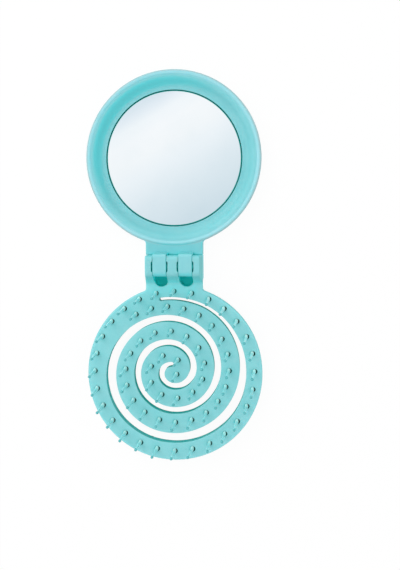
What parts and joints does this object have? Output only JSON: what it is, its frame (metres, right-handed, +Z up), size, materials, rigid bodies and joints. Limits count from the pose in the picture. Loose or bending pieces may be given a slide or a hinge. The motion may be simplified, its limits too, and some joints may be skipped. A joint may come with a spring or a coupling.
{
  "type": "folding pocket hairbrush with mirror",
  "caption": "Folding pocket hairbrush: a round mirror in a dished frame, snap-hinged to a round brush plate cut by a spiral slot, with ball-tipped pins.",
  "frame": {"origin": "centre of the bounding box's base: on the table plane under the hinge axis, midway along the open brush", "axes": "+Y from the hinge towards the mirror, +Z up out of the mirror and brush faces, X along the hinge axis; stored open and flat"},
  "size_m": [0.0664, 0.148, 0.015],
  "materials": {
    "teal_plastic": "satin moulded",
    "mirror_glass": "polished",
    "white_foam": "closed-cell foam",
    "pin_nylon": "translucent gloss"
  },
  "bodies": {
    "mirror_half": {"mirror_frame": "teal_plastic", "mirror_glass": "mirror_glass", "mirror_pad": "white_foam"},
    "brush_half": {"brush_base": "teal_plastic", "ring_pins_1": "pin_nylon", "ring_pins_2": "pin_nylon", "ring_pins_3": "pin_nylon", "ring_pins_4": "pin_nylon", "ring_pins_5": "pin_nylon", "ring_pins_6": "pin_nylon", "ring_pins_7": "pin_nylon", "arm_pins_1": "pin_nylon", "arm_pins_2": "pin_nylon", "arm_pins_3": "pin_nylon", "arm_pins_4": "pin_nylon", "arm_pins_5": "pin_nylon", "arm_pins_6": "pin_nylon", "arm_pins_7": "pin_nylon"}
  },
  "joints": [
    {"name": "fold_hinge", "type": "hinge", "parent": "mirror_half", "child": "brush_half", "pos_m": [0, 0, 0.011], "axis": [-1, 0, 0], "range_deg": [0, 180]}
  ]
}
